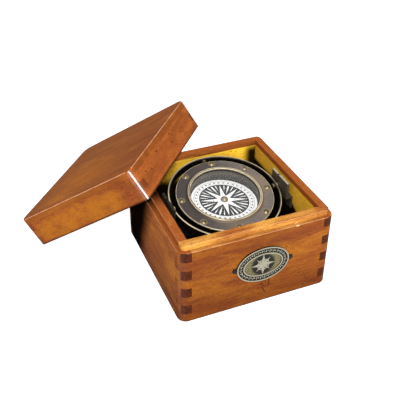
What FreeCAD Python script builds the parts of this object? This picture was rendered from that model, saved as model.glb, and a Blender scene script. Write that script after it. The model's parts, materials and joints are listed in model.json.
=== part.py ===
"""Gimballed dry-card boat compass in a square finger-jointed wooden box with a lift-off lid.

Millimetres. +Z is up and the origin is the centre of the box's underside. The lid lies off
the box, with its lower rim on the table and its upper rim on the box's tongue.

The sizes run from the inside out: the card sets the bowl, the bowl sets the gimbal ring, the
ring sets the brackets and the brackets set the box.
"""
import FreeCAD, Part
import math
import os

V = FreeCAD.Vector

# ---- card ----------------------------------------------------------------------------------
card_radius = 28.5
card_thickness = 0.5
card_tilt = 5.263            # degrees off level, which way is card_tilt_heading
card_tilt_heading = -57.863  # degrees about +Z from +X
card_heading = -12.0         # north point from +Y, degrees
point_above_card = 1.9       # needle point above the middle of the card's thickness
cap_radius = 3.2
cap_collar_height = 1.35
cap_height = 3.4
cap_spigot_radius = 2.4
cap_spigot_depth = 1.2
jewel_radius = 1.4
jewel_thickness = 1.1
jewel_cone_radius = 1.0
jewel_cone_depth = 0.4
magnet_length = 30.0
magnet_width = 3.0
magnet_thickness = 2.2
magnet_offset = 8.0

# ---- bowl: heights are from the gimbal axes along the bowl's own axis ----------------------
card_side_gap = 0.9          # between the card and the verge ring
verge_seat = 6.6             # width of the verge ring's flange, from its bore to the bowl
verge_sleeve = 1.0
verge_flange_thickness = 0.8
verge_depth = 10.0
bowl_wall = 1.5
bowl_depth = 36.0
bowl_corner_radius = 20.0
flange_width = 4.4
flange_bottom = 1.7
flange_thickness = 1.2
bowl_pin_radius = 1.2
bowl_pin_web = 0.7           # left between the pivot pins' ends and the bowl's inside
bowl_pin_land = 0.1
boss_radius = 2.6
boss_setback = 0.9           # the pivot bosses end this far inside the flange's edge
locknut_thickness = 1.8

gasket_thickness = 0.6
gasket_width = 2.2
glass_inset = 3.6            # between the glass and the bowl's inside, in plan
glass_thickness = 1.6
glass_side_clearance = 0.1

bezel_flat_thickness = 1.2   # the flat that carries the screws
bezel_lip_thickness = 1.25   # over the glass
bezel_lip_cover = 1.2        # the lip's foot runs this far out past the glass
bezel_lip_crest = 1.8
bezel_bore_step = 0.55       # the bezel's bore stands back this far from the verge ring's
bezel_edge_chamfer = 0.3
bezel_screws = 8
bezel_screw_inset = 3.6      # from the flange's edge to the screws
bezel_screw_phase = -5.3     # degrees
bezel_screw_slot_start = 30  # slot directions as the screws were left, degrees
bezel_screw_slot_step = 47
bezel_screw_head_radius = 2.35
bezel_screw_head_height = 1.2
bezel_screw_radius = 1.0
bezel_screw_end = 0.2        # below the flange
slot_width = 0.6
slot_depth = 0.6

# ---- pivot and ballast ---------------------------------------------------------------------
pivot_point_height = -1.3    # needle point
stem_radius = 1.9
stem_top_radius = 1.0
stem_top = -5.0
stem_taper = 3.0
stem_collar_radius = 5.0
stem_collar = 2.0
needle_radius = 0.5
needle_socket = 5.0
needle_cone = 2.6
needle_point_gap = 0.05
ballast_radius = 17.0
ballast_thickness = 6.0
stem_nut_radius = 4.0
stem_nut_thickness = 2.8
stem_thread_end = 0.7

# ---- gimbal --------------------------------------------------------------------------------
rest_tilt = 11.0             # ring and bowl at rest, degrees about +X
ring_gap = 4.9               # between the bowl's flange and the ring
ring_thickness = 1.8
ring_band = 8.0
ring_edge_radius = 0.4
ring_pin_radius = 1.4
ring_pin_overhang = 1.4      # past the bracket's slotted face plate
pin_head_radius = 2.4
pin_head_height = 1.4
running_clearance = 0.05
bush_radius = 2.6
bush_end_gap = 0.3

# ---- brackets on the side walls ------------------------------------------------------------
bracket_gap = 1.9            # between the ring and the slotted face
bracket_depth = 6.5          # from the slotted face to the wall
bracket_front_reach = 16.5    # from the slot to the bracket's front end
bracket_back_reach = 10.5
bracket_plate = 1.5          # of the shelf and the back plate
bracket_face_plate = 2.0
bracket_above_axis = 11.0
bracket_below_axis = 5.0
bracket_tail = 10.0          # back plate below the shelf, where its screws are
bracket_screw_spacing = 16.0
wood_screw_head_radius = 2.2
wood_screw_head_height = 1.2
wood_screw_radius = 1.1
wood_screw_length = 7.5

# ---- box -----------------------------------------------------------------------------------
box_wall = 10.0
shoulder_width = 3.1         # ledge that the closed lid sits on
tongue_height = 5.0          # raised lip inside the ledge, which locates the lid
bracket_top_drop = 2.0       # brackets' tops below the top of the tongue
bowl_floor_gap = 13.5        # under the bowl's nut
corner_radius = 7.5
bottom_edge_radius = 1.0
arris_radius = 0.6           # small rounding along the wood's other edges
box_fingers = 8
floor_thickness = 8.0
felt_thickness = 1.0
felt_clearance = 0.3

# ---- lid -----------------------------------------------------------------------------------
lid_height = 29.5
lid_panel_thickness = 6.0
lid_wall = 10.0
lid_fingers = 3
lid_top_radius = 2.0
lid_side_clearance = 0.4     # between the lid's rim and the tongue when it is closed
lid_depth_clearance = 0.5
lid_rest_gap = 0.25          # between the lying lid and the box's tongue
lid_heading = -40.3          # direction of the lid's upward slope, degrees about +Z
lid_lean_from_left = 42.161     # middle of the leaning rim, from the box's left face
lid_lean_from_back = 13.393     # and from its back face

# ---- badge on the front --------------------------------------------------------------------
badge_x = 3.6
badge_z = 40.3
badge_half_width = 22.9
badge_half_height = 16.6
badge_thickness = 1.0
badge_rim_height = 0.45
badge_rim_width = 1.1
badge_field_half_width = 17.6
badge_field_half_height = 11.2
badge_tab_radius = 2.2
badge_nail_margin = 1.6      # from the badge's end to the middle of each nail
nail_head_radius = 1.1
nail_head_height = 0.6
nail_radius = 0.5
nail_depth = 6.0

past = 1.0                   # how far a cutting tool runs past what it cuts

# ---- sizes that follow: radii from the card outwards ---------------------------------------
verge_inner_radius = card_radius + card_side_gap
bowl_inner_radius = verge_inner_radius + verge_seat
bowl_outer_radius = bowl_inner_radius + bowl_wall
flange_radius = bowl_outer_radius + flange_width
ring_inner_radius = flange_radius + ring_gap
ring_outer_radius = ring_inner_radius + ring_thickness
bracket_face = ring_outer_radius + bracket_gap
inner_half = bracket_face + bracket_depth
half = inner_half + box_wall
glass_radius = bowl_inner_radius - glass_inset
bezel_inner_radius = verge_inner_radius + bezel_bore_step
bezel_lip_outer_radius = glass_radius + bezel_lip_cover
bezel_screw_circle = flange_radius - bezel_screw_inset
bowl_pin_end = bowl_inner_radius + bowl_pin_web
boss_reach = flange_radius - boss_setback
ring_pin_end = bracket_face + bracket_face_plate + ring_pin_overhang

# ---- sizes that follow: heights ------------------------------------------------------------
bowl_floor = bowl_wall - bowl_depth
flange_top = flange_bottom + flange_thickness
verge_top = flange_top - gasket_thickness
glass_top = flange_top + glass_thickness
bezel_flat_height = flange_top + bezel_flat_thickness
bezel_lip_height = glass_top + bezel_lip_thickness
ballast_top = bowl_floor + ballast_thickness
stem_nut_bottom = -bowl_depth - stem_nut_thickness
stem_end = stem_nut_bottom - stem_thread_end
felt_top = floor_thickness + felt_thickness
gimbal_height = felt_top + bowl_floor_gap - stem_end
bracket_top = gimbal_height + bracket_above_axis
bracket_face_bottom = gimbal_height - bracket_below_axis
bracket_foot = bracket_face_bottom - bracket_tail
tongue_top = bracket_top + bracket_top_drop
shoulder_height = tongue_top - tongue_height

# ---- sizes that follow: lid and badge ------------------------------------------------------
lid_rim = shoulder_width - lid_side_clearance
lid_rebate = tongue_height + lid_depth_clearance
lid_board_height = lid_height - lid_panel_thickness
lid_slope = 2 * half - lid_rim           # from the lower rim's edge to the tongue, along the lid
lid_slope_rise = tongue_top + lid_rest_gap
lid_angle = math.degrees(math.asin(lid_slope_rise / lid_slope))
badge_nail_reach = badge_half_width + badge_nail_margin


# ---- helpers -------------------------------------------------------------------------------
def block(x0, x1, y0, y1, z0, z1):
    """A box between two corners."""
    return Part.makeBox(x1 - x0, y1 - y0, z1 - z0, V(x0, y0, z0))


def edges_where(shape, test):
    """The shape's edges whose every vertex passes the test."""
    return [e for e in shape.Edges if all(test(v.Point) for v in e.Vertexes)]


def rounded_square(half_side, z0, z1, radius):
    """A square prism about the Z axis with rounded vertical edges."""
    prism = block(-half_side, half_side, -half_side, half_side, z0, z1)
    upright = [e for e in prism.Edges if abs(e.Vertexes[0].Z - e.Vertexes[1].Z) > 1e-6]
    return prism.makeFillet(radius, upright)


def round_rim(shape, height, radius):
    """Rounds the edges that lie in the plane z = height."""
    rim = edges_where(shape, lambda p: abs(p.z - height) < 1e-6)
    return shape.makeFillet(radius, rim)


def turned(profile):
    """A solid of revolution about Z from (radius, height) points."""
    points = [V(r, 0, z) for r, z in profile]
    wire = Part.makePolygon(points + points[:1])
    return Part.Face(wire).revolve(V(0, 0, 0), V(0, 0, 1), 360)


def cylinder(radius, start, end):
    """A round bar from one point to another."""
    run = end - start
    return Part.makeCylinder(radius, run.Length, start, run)


def domed_head(radius, height, spigot=0.0):
    """A shallow dome on z = 0, with a plain round of the same radius below it to -spigot."""
    sphere_radius = (radius ** 2 + height ** 2) / (2 * height)
    ball = Part.makeSphere(sphere_radius, V(0, 0, height - sphere_radius))
    head = ball.common(Part.makeCylinder(radius, height))
    if spigot > 0:
        head = head.fuse(Part.makeCylinder(radius, spigot, V(0, 0, -spigot))).removeSplitter()
    return head


def slotted_screw(head_radius, head_height, shank_radius, shank_length, slot_angle=0.0):
    """A round-headed slotted screw whose head sits on z = 0 and whose shank points down."""
    slot = block(-head_radius, head_radius, -slot_width / 2, slot_width / 2,
                 head_height - slot_depth, head_height + past)
    slot.rotate(V(0, 0, 0), V(0, 0, 1), slot_angle)
    shank = Part.makeCylinder(shank_radius, shank_length, V(0, 0, -shank_length))
    return domed_head(head_radius, head_height).cut(slot).fuse(shank).removeSplitter()


def placed(shape, placement):
    """A copy of the shape carried to a placement."""
    copy = shape.copy()
    copy.Placement = placement.multiply(copy.Placement)
    return copy


def aim(shape, place, direction):
    """Turns a shape's +Z to a direction and moves its origin to a place."""
    return placed(shape, FreeCAD.Placement(place, FreeCAD.Rotation(V(0, 0, 1), direction)))


def group(shapes):
    """Several separate solids in one node."""
    return Part.makeCompound(shapes)


def cut_all(shape, tools):
    """Cuts several tools out of a shape."""
    for tool in tools:
        shape = shape.cut(tool)
    return shape


def combed_boards(shell, inner, top, bottom, count, above):
    """Splits a square shell, hollow to the inner half-side, into four finger-jointed boards.

    The fingers are counted from the top. The side boards own the first, third and so on at
    each corner, and the front and back boards own the rest and all that lies above the top.
    """
    pitch = (top - bottom) / count
    out = half + past
    low = bottom - past
    boards = {
        "front": block(-inner, inner, -out, -inner, low, above),
        "back": block(-inner, inner, inner, out, low, above),
        "left": block(-out, -inner, -inner, inner, low, above),
        "right": block(inner, out, -inner, inner, low, above),
    }
    corners = {
        ("front", "left"): (-out, -inner, -out, -inner),
        ("front", "right"): (inner, out, -out, -inner),
        ("back", "left"): (-out, -inner, inner, out),
        ("back", "right"): (inner, out, inner, out),
    }
    for (face, side), (x0, x1, y0, y1) in corners.items():
        if above > top:
            boards[face] = boards[face].fuse(block(x0, x1, y0, y1, top, above))
        for k in range(count):
            owner = side if k % 2 == 0 else face
            finger_bottom = low if k == count - 1 else top - (k + 1) * pitch
            finger = block(x0, x1, y0, y1, finger_bottom, top - k * pitch)
            boards[owner] = boards[owner].fuse(finger)
    return {name: shell.common(board.removeSplitter()) for name, board in boards.items()}


# ---- box -----------------------------------------------------------------------------------
def bracket(side):
    """A brass bracket on one side wall: a back plate screwed to the wall, a shelf that stands
    out from it, and an upright face with an open-topped slot for the ring's pin."""
    wall = side * inner_half
    back = wall - side * bracket_plate
    face = side * bracket_face
    inside = face + side * bracket_face_plate
    shelf_top = bracket_face_bottom + bracket_plate

    def span(xa, xb, z0, z1, y0=-bracket_front_reach, y1=bracket_back_reach):
        return block(min(xa, xb), max(xa, xb), y0, y1, z0, z1)

    shape = span(wall, back, bracket_foot, shelf_top)
    shape = shape.fuse(span(face, wall, bracket_face_bottom, shelf_top))
    shape = shape.fuse(span(face, inside, bracket_face_bottom, bracket_top))
    slot = ring_pin_radius + running_clearance
    before = face - side * past
    beyond = (inside + back) / 2
    shape = shape.cut(span(before, beyond, gimbal_height, bracket_top + past, -slot, slot))
    shape = shape.cut(cylinder(slot, V(before, 0, gimbal_height), V(beyond, 0, gimbal_height)))
    return shape.removeSplitter()


def bracket_fixings(side):
    """The two wood screws through a bracket's tail, with their slots upright."""
    z = (bracket_foot + bracket_face_bottom) / 2
    x = side * (inner_half - bracket_plate)
    screw = slotted_screw(wood_screw_head_radius, wood_screw_head_height, wood_screw_radius,
                          wood_screw_length)
    return [aim(screw, V(x, y, z), V(-side, 0, 0))
            for y in (-bracket_screw_spacing / 2, bracket_screw_spacing / 2)]


def oval(half_width, half_height, y0, y1):
    """An upright elliptical disc about the badge's middle, between two depths."""
    ellipse = Part.Ellipse(V(0, 0, 0), half_width, half_height).toShape()
    disc = Part.Face(Part.Wire(ellipse)).extrude(V(0, 0, y1 - y0))
    disc.rotate(V(0, 0, 0), V(1, 0, 0), 90)
    disc.translate(V(badge_x, y1, badge_z))
    return disc


def make_badge():
    """An oval plaque with two raised rims, a nail tab at each end, and its two nails."""
    wall = -half
    face = wall - badge_thickness
    plaque = oval(badge_half_width, badge_half_height, face, wall)
    rims = ((badge_half_width, badge_half_height),
            (badge_field_half_width, badge_field_half_height))
    for a, b in rims:
        rim = oval(a, b, face - badge_rim_height, face)
        rim = rim.cut(oval(a - badge_rim_width, b - badge_rim_width,
                           face - badge_rim_height - past, face))
        plaque = plaque.fuse(rim)
    nails = []
    for end in (-1, 1):
        x = badge_x + end * badge_nail_reach
        tab = cylinder(badge_tab_radius, V(x, face, badge_z), V(x, wall, badge_z))
        root = x - end * badge_tab_radius * 2
        neck = block(min(x, root), max(x, root), face, wall,
                     badge_z - badge_tab_radius, badge_z + badge_tab_radius)
        plaque = plaque.fuse(tab).fuse(neck)
        nail = domed_head(nail_head_radius, nail_head_height)
        nail = nail.fuse(Part.makeCylinder(nail_radius, nail_depth, V(0, 0, -nail_depth)))
        nails.append(aim(nail, V(x, face, badge_z), V(0, -1, 0)))
    plaque = cut_all(plaque.removeSplitter(), nails)
    return plaque, nails


def make_box():
    """The walls, floor, lining, badge and gimbal brackets."""
    body = round_rim(rounded_square(half, 0, shoulder_height, corner_radius),
                     0, bottom_edge_radius)
    body = round_rim(body, shoulder_height, arris_radius)
    tongue = rounded_square(half - shoulder_width, shoulder_height - past, tongue_top,
                            corner_radius - shoulder_width)
    tongue = round_rim(tongue, tongue_top, arris_radius)
    inside = block(-inner_half, inner_half, -inner_half, inner_half, -past, tongue_top + past)
    walls = combed_boards(body.fuse(tongue).cut(inside), inner_half, shoulder_height, 0,
                          box_fingers, tongue_top + past)
    plaque, nails = make_badge()
    fixings = {side: bracket_fixings(sign) for side, sign in (("left", -1), ("right", 1))}
    lining = inner_half - felt_clearance
    return {
        "front_wall": cut_all(walls["front"], nails),
        "back_wall": walls["back"],
        "left_wall": cut_all(walls["left"], fixings["left"]),
        "right_wall": cut_all(walls["right"], fixings["right"]),
        "floor_board": block(-inner_half, inner_half, -inner_half, inner_half,
                             0, floor_thickness),
        "floor_felt": block(-lining, lining, -lining, lining, floor_thickness, felt_top),
        "badge_plate": plaque,
        "badge_nails": group(nails),
        "left_bracket": cut_all(bracket(-1), fixings["left"]),
        "right_bracket": cut_all(bracket(1), fixings["right"]),
        "bracket_screws": group(fixings["left"] + fixings["right"]),
    }


# ---- lid -----------------------------------------------------------------------------------
def lid_placement():
    """Carries the lid, modelled rim down on the XY plane, to where it lies."""
    turn = FreeCAD.Rotation(V(0, 0, 1), lid_heading).multiply(
        FreeCAD.Rotation(V(0, 1, 0), -lid_angle))
    leaning_rim = V(lid_lean_from_left - half, half - lid_lean_from_back, lid_slope_rise)
    foot = leaning_rim - turn.multVec(V(lid_slope, 0, 0))
    return FreeCAD.Placement(foot + turn.multVec(V(half, 0, 0)), turn)


def make_lid():
    """The lid's top panel and its four combed boards, rebated to go over the tongue."""
    panel = rounded_square(half, lid_board_height, lid_height, corner_radius)
    panel = round_rim(panel, lid_height, lid_top_radius)
    lid_inner = half - lid_wall
    shell = rounded_square(half, 0, lid_board_height, corner_radius)
    shell = shell.cut(block(-lid_inner, lid_inner, -lid_inner, lid_inner,
                            -past, lid_board_height + past))
    shell = shell.cut(rounded_square(half - lid_rim, -past, lid_rebate,
                                     corner_radius - lid_rim))
    boards = combed_boards(shell, lid_inner, lid_board_height, 0, lid_fingers, lid_board_height)
    nodes = {"lid_panel": panel}
    nodes.update({"lid_" + name: board for name, board in boards.items()})
    place = lid_placement()
    return {name: placed(shape, place) for name, shape in nodes.items()}


# ---- gimbal ring ---------------------------------------------------------------------------
def gimbal_placement():
    """Carries pieces from the gimbal's own frame to where they rest."""
    return FreeCAD.Placement(V(0, 0, gimbal_height), FreeCAD.Rotation(V(1, 0, 0), rest_tilt))


def make_ring():
    """The ring, its outer pins to the brackets and its inner pins to the bowl."""
    low, high = -ring_band / 2, ring_band / 2
    ring_core = Part.makeCylinder(ring_inner_radius, ring_band * 2, V(0, 0, -ring_band))
    ring_bore = Part.makeCylinder(ring_outer_radius, ring_band * 2, V(0, 0, -ring_band))
    band = Part.makeCylinder(ring_outer_radius, ring_band, V(0, 0, low)).cut(ring_core)
    for height in (low, high):
        band = round_rim(band, height, ring_edge_radius)
    pins, bushes, bowl_pins, locknuts = [], [], [], []
    for side in (-1, 1):
        along = V(side, 0, 0)
        head = cylinder(pin_head_radius, along * (ring_inner_radius - pin_head_height),
                        along * (ring_inner_radius + ring_thickness / 2))
        head = head.common(ring_core)
        shank = cylinder(ring_pin_radius, along * (ring_inner_radius - pin_head_height),
                         along * ring_pin_end)
        pins.append(head.fuse(shank).removeSplitter())
        bush = cylinder(bush_radius, along * ring_inner_radius,
                        along * (bracket_face - bush_end_gap))
        bushes.append(bush.cut(ring_bore).cut(shank))
        along = V(0, side, 0)
        head = aim(slotted_screw(pin_head_radius, pin_head_height, bowl_pin_radius,
                                 ring_outer_radius - bowl_pin_end),
                   along * ring_outer_radius, along)
        bowl_pins.append(head)
        nut = cylinder(pin_head_radius, along * (ring_inner_radius - locknut_thickness),
                       along * (ring_inner_radius + ring_thickness / 2)).common(ring_core)
        locknuts.append(nut.cut(head))
    nodes = {
        "gimbal_ring": cut_all(band, pins + bowl_pins),
        "ring_pins": group(pins),
        "ring_bushes": group(bushes),
        "bowl_pivot_screws": group(bowl_pins),
        "pivot_locknuts": group(locknuts),
    }
    place = gimbal_placement()
    return {name: placed(shape, place) for name, shape in nodes.items()}


# ---- bowl ----------------------------------------------------------------------------------
def turned_cup(outer_radius, top, bottom, corner):
    """A solid round cup shape with a rounded bottom corner."""
    body = Part.makeCylinder(outer_radius, top - bottom, V(0, 0, bottom))
    return round_rim(body, bottom, corner)


def make_bowl():
    """The bowl with its glass, bezel, screws, ballast and the pivot that carries the card."""
    cup = turned_cup(bowl_outer_radius, flange_top, -bowl_depth, bowl_corner_radius)
    flange = Part.makeCylinder(flange_radius, flange_top - flange_bottom, V(0, 0, flange_bottom))
    shell = cup.fuse(flange)
    for side in (-1, 1):
        along = V(0, side, 0)
        shell = shell.fuse(cylinder(boss_radius, along * bowl_inner_radius, along * boss_reach))
    shell = shell.removeSplitter().cut(
        turned_cup(bowl_inner_radius, flange_top + past, bowl_floor,
                   bowl_corner_radius - bowl_wall))
    for side in (-1, 1):
        along = V(0, side, 0)
        shell = shell.cut(cylinder(bowl_pin_radius + running_clearance,
                                   along * (bowl_pin_end - bowl_pin_land),
                                   along * (boss_reach + past)))

    stem = turned([(0, stem_end), (stem_radius, stem_end), (stem_radius, ballast_top),
                   (stem_collar_radius, ballast_top),
                   (stem_collar_radius, ballast_top + stem_collar),
                   (stem_radius, ballast_top + stem_collar),
                   (stem_radius, stem_top - stem_taper), (stem_top_radius, stem_top),
                   (0, stem_top)])
    needle_tip = pivot_point_height - needle_point_gap
    needle = turned([(0, stem_top - needle_socket), (needle_radius, stem_top - needle_socket),
                     (needle_radius, needle_tip - needle_cone), (0, needle_tip)])
    ballast = Part.makeCylinder(ballast_radius, ballast_thickness, V(0, 0, bowl_floor))
    stem_nut = Part.Face(Part.makePolygon(
        [V(stem_nut_radius * math.cos(math.radians(60 * k)),
           stem_nut_radius * math.sin(math.radians(60 * k)), -bowl_depth) for k in range(7)]
    )).extrude(V(0, 0, -stem_nut_thickness))

    verge = turned([(verge_inner_radius, verge_top), (bowl_inner_radius, verge_top),
                    (bowl_inner_radius, verge_top - verge_flange_thickness),
                    (verge_inner_radius + verge_sleeve, verge_top - verge_flange_thickness),
                    (verge_inner_radius + verge_sleeve, verge_top - verge_depth),
                    (verge_inner_radius, verge_top - verge_depth)])
    gasket = turned([(glass_radius - gasket_width, verge_top), (glass_radius, verge_top),
                     (glass_radius, flange_top), (glass_radius - gasket_width, flange_top)])
    glass = Part.makeCylinder(glass_radius, glass_thickness, V(0, 0, flange_top))

    recess = glass_radius + glass_side_clearance
    crest_outer = bezel_inner_radius + bezel_lip_crest
    bezel = turned([(recess, flange_top), (flange_radius, flange_top),
                    (flange_radius, bezel_flat_height - bezel_edge_chamfer),
                    (flange_radius - bezel_edge_chamfer, bezel_flat_height),
                    (bezel_lip_outer_radius, bezel_flat_height),
                    (crest_outer, bezel_lip_height),
                    (bezel_inner_radius + bezel_edge_chamfer, bezel_lip_height),
                    (bezel_inner_radius, bezel_lip_height - bezel_edge_chamfer),
                    (bezel_inner_radius, glass_top), (recess, glass_top)])
    screws = []
    screw_length = bezel_flat_height - flange_bottom + bezel_screw_end
    for k in range(bezel_screws):
        angle = math.radians(bezel_screw_phase + k * 360 / bezel_screws)
        screw = slotted_screw(bezel_screw_head_radius, bezel_screw_head_height,
                              bezel_screw_radius, screw_length,
                              bezel_screw_slot_start + bezel_screw_slot_step * k)
        screw.translate(V(bezel_screw_circle * math.cos(angle),
                          bezel_screw_circle * math.sin(angle), bezel_flat_height))
        screws.append(screw)

    nodes = {
        "bowl_shell": cut_all(shell, screws + [stem]),
        "verge_ring": cut_all(verge, screws),
        "glass_gasket": gasket,
        "glass": glass,
        "bezel": cut_all(bezel, screws),
        "bezel_screws": group(screws),
        "ballast_weight": ballast.cut(stem),
        "pivot_stem": stem.cut(needle),
        "pivot_needle": needle,
        "stem_nut": stem_nut.cut(stem),
    }
    place = gimbal_placement()
    return {name: placed(shape, place) for name, shape in nodes.items()}


# ---- card ----------------------------------------------------------------------------------
def card_placement():
    """Carries the card, modelled about its disc's middle, onto the needle."""
    up = FreeCAD.Rotation(V(0, 0, 1), card_tilt_heading).multiply(
        FreeCAD.Rotation(V(0, 1, 0), card_tilt)).multVec(V(0, 0, 1))
    point = gimbal_placement().multVec(V(0, 0, pivot_point_height))
    turn = FreeCAD.Rotation(V(0, 0, 1), up).multiply(
        FreeCAD.Rotation(V(0, 0, 1), card_heading))
    return FreeCAD.Placement(point - up * point_above_card, turn), point, up


def make_card():
    """The card's disc, its brass cap with the jewel that rides on the needle, and its magnets."""
    top = card_thickness / 2
    disc = Part.makeCylinder(card_radius, card_thickness, V(0, 0, -top)).cut(
        Part.makeCylinder(cap_spigot_radius, card_thickness * 2, V(0, 0, -card_thickness)))
    jewel_base = point_above_card - jewel_cone_depth
    jewel = Part.makeCylinder(jewel_radius, jewel_thickness, V(0, 0, jewel_base)).cut(
        Part.makeCone(jewel_cone_radius, 0, jewel_cone_depth, V(0, 0, jewel_base)))
    crown = domed_head(cap_radius, cap_height - cap_collar_height, cap_collar_height - top)
    crown.translate(V(0, 0, cap_collar_height))
    spigot = Part.makeCylinder(cap_spigot_radius, cap_spigot_depth + top,
                               V(0, 0, -cap_spigot_depth))
    bore = Part.makeCylinder(jewel_radius, jewel_base + jewel_thickness + cap_spigot_depth,
                             V(0, 0, -cap_spigot_depth))
    cap = crown.fuse(spigot).removeSplitter().cut(bore)
    magnets = [block(x - magnet_width / 2, x + magnet_width / 2,
                     -magnet_length / 2, magnet_length / 2, -top - magnet_thickness, -top)
               for x in (-magnet_offset, magnet_offset)]
    nodes = {
        "card_disc": disc,
        "card_cap": cap,
        "cap_jewel": jewel,
        "card_magnets": group(magnets),
    }
    place, point, up = card_placement()
    print("card pivot", [round(c, 3) for c in point], "axis", [round(c, 5) for c in up])
    return {name: placed(shape, place) for name, shape in nodes.items()}


# ---- build ---------------------------------------------------------------------------------
os.makedirs("parts", exist_ok=True)
for make in (make_box, make_lid, make_ring, make_bowl, make_card):
    for name, shape in make().items():
        shape.exportStep("parts/" + name + ".step")
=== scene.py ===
"""A gimballed boat compass in its finger-jointed box: finishes, print, badge and stage."""

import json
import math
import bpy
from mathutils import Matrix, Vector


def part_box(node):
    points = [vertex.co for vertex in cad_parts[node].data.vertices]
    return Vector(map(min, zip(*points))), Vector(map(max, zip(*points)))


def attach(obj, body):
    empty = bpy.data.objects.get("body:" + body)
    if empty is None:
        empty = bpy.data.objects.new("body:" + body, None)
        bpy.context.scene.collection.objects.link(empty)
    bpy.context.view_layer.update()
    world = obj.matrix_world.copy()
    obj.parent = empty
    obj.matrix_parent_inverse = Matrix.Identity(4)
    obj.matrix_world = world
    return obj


bl_info = {
    "name": "Boat Compass in a Box",
    "version": (1, 0, 0),
    "blender": (4, 5, 0),
    "location": "View3D > Sidebar > Compass",
    "description": "Dresses a gimballed boat compass and its wooden box around a fixed frame",
    "category": "Object",
}

import bmesh
import bpy
from bpy.props import FloatProperty, FloatVectorProperty, IntProperty, PointerProperty
from mathutils import Matrix, Vector

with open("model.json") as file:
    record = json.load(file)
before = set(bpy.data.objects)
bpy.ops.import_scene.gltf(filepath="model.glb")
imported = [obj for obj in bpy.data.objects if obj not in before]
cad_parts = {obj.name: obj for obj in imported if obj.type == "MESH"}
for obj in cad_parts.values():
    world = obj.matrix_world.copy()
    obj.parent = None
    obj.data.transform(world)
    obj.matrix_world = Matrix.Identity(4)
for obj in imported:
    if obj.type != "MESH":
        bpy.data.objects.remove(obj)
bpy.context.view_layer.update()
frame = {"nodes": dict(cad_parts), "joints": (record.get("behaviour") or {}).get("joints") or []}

MM = 0.001


def srgb(red, green, blue):
    """A colour as eye values from 0 to 255, turned linear."""
    def linear(value):
        value = value / 255
        return value / 12.92 if value <= 0.04045 else ((value + 0.055) / 1.055) ** 2.4
    return (linear(red), linear(green), linear(blue))


def joint(name):
    """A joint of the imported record."""
    return next(j for j in frame["joints"] if j["name"] == name)


# ---- places that come from the frame ----
GIMBAL_CENTRE = Vector(joint("gimbal_roll")["pos_m"])
ROLL_AXIS = Vector(joint("gimbal_roll")["axis"])
PITCH_AXIS = Vector(joint("bowl_pitch")["axis"])
BOWL_AXIS = ROLL_AXIS.cross(PITCH_AXIS).normalized()
CARD_AXIS = Vector(joint("card_turn")["axis"]).normalized()
CARD_CENTRE = sum(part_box("card_disc"), Vector()) / 2

# ---- measures in millimetres ----
SHOULDER = 3.1  # width of the ledge round the box's tongue
ARRIS = 0.6  # rounding of the box's rims
LID_EDGE = 2.0  # rounding of the lid's top edge
CARD_THICKNESS = 0.5  # of the card under its print
PRINT = 0.02  # thickness of a printed layer
BEZEL_EDGE = 41.9  # radius of the bezel
LIP_CREST = 31.6  # radius of the bezel's lip at its crest
BEZEL_BORE = 29.95  # radius of the bezel's bore
FLAT_HEIGHT = 4.1  # of the bezel's flat above the gimbal axes
SLOT_FLOOR = 4.7  # of the screws' slots above the gimbal axes
SCREW_CIRCLE = 38.3  # radius of the circle that the bezel's screws stand on
RING_EDGE = 48.6  # outer radius of the gimbal ring
BADGE_RIM = 0.45  # height of the badge's raised rims
BADGE_FIELD = (17.6, 11.2)  # half-width and half-height of its inner oval
BADGE_BAND = (19.65, 13.3)  # middle line of the band between its rims
SEAT = (2.4, 3.0)  # inner and outer radius of the seat round each screw
FLOOR_HALF = 6000.0  # half the floor's side
FLOOR_DROP = 0.2  # of the floor below the box
CHIP_AND_GLINT = (33, 68.2)  # place of the chip in the front's ledge, along and up, painted pale as the chip and its painted highlight
LIGHT_ABOVE = 52.0  # height above which the inside of the box is pale; below it lies a painted shadow

# ---- wear on the boards, as (along, up, radius) in millimetres ----
BACK_WORMHOLES = ((32.0, 68.5, 0.5), (36.8, 67.0, 0.5))
FRONT_PITS = ((4, 18.5, 0.8), (6, 16, 0.6), (1, 15, 0.7), (7.5, 20, 0.6), (-4, 13, 0.5),
              (-7, 17, 0.5), (-24, 30, 0.5), (24, 52, 0.6), (30, 48, 0.5), (-35, 22, 0.5),
              (38, 20, 0.5), (44, 58, 0.5))
FLANK_WORMHOLES = ((-49, 17, 0.8), (-40, 14, 0.7), (-20, 20, 0.9), (8, 13, 0.8),
                   (11, 20, 0.8), (14, 17, 0.6), (-33, 24, 0.6), (30, 12, 0.7))

# ---- the card's print ----
POINTS = 8  # large points of the rose
DASHES = 72  # places for dashes round the scale, every second one used
TICKS = 180  # ticks round the scale's outer line
FIGURE_STEP = 10  # degrees between the scale's figures
LETTERS = ("N", "NE", "E", "SE", "S", "SW", "W", "NW")

# ---- the camera, in metres ----
CAMERA_PLACE = Vector((-0.203992, -0.431322, 0.394781))
CAMERA_RIGHT = Vector((0.923754, -0.382921, 0.007002))
CAMERA_DOWN = Vector((-0.205878, -0.511909, -0.834004))
CAMERA_FORWARD = Vector((0.322942, 0.768974, -0.551714))
CAMERA_SHIFT = -0.05  # of the frame, as a share of its width
SENSOR_WIDTH = 36  # in millimetres
HORIZON = (0.12, 0.3)  # upward share of a direction where the sky dims


# ---- settings ----
def colour_setting(name, description, *eye_values):
    """A colour, with its default as eye values from 0 to 255."""
    return FloatVectorProperty(name=name, description=description, subtype="COLOR",
                               default=srgb(*eye_values), min=0, max=1)


def length_setting(name, description, default, least):
    """A length, with its default and its least value in millimetres."""
    return FloatProperty(name=name, description=description, unit="LENGTH",
                         default=default * MM, min=least * MM)


def angle_setting(name, description, degrees):
    """An angle, with its default in degrees."""
    return FloatProperty(name=name, description=description, subtype="ANGLE",
                         default=math.radians(degrees))


def power_setting(name, description, watts):
    """A lamp's power, with its default in watts."""
    return FloatProperty(name=name, description=description, unit="POWER", default=watts, min=0)


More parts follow.
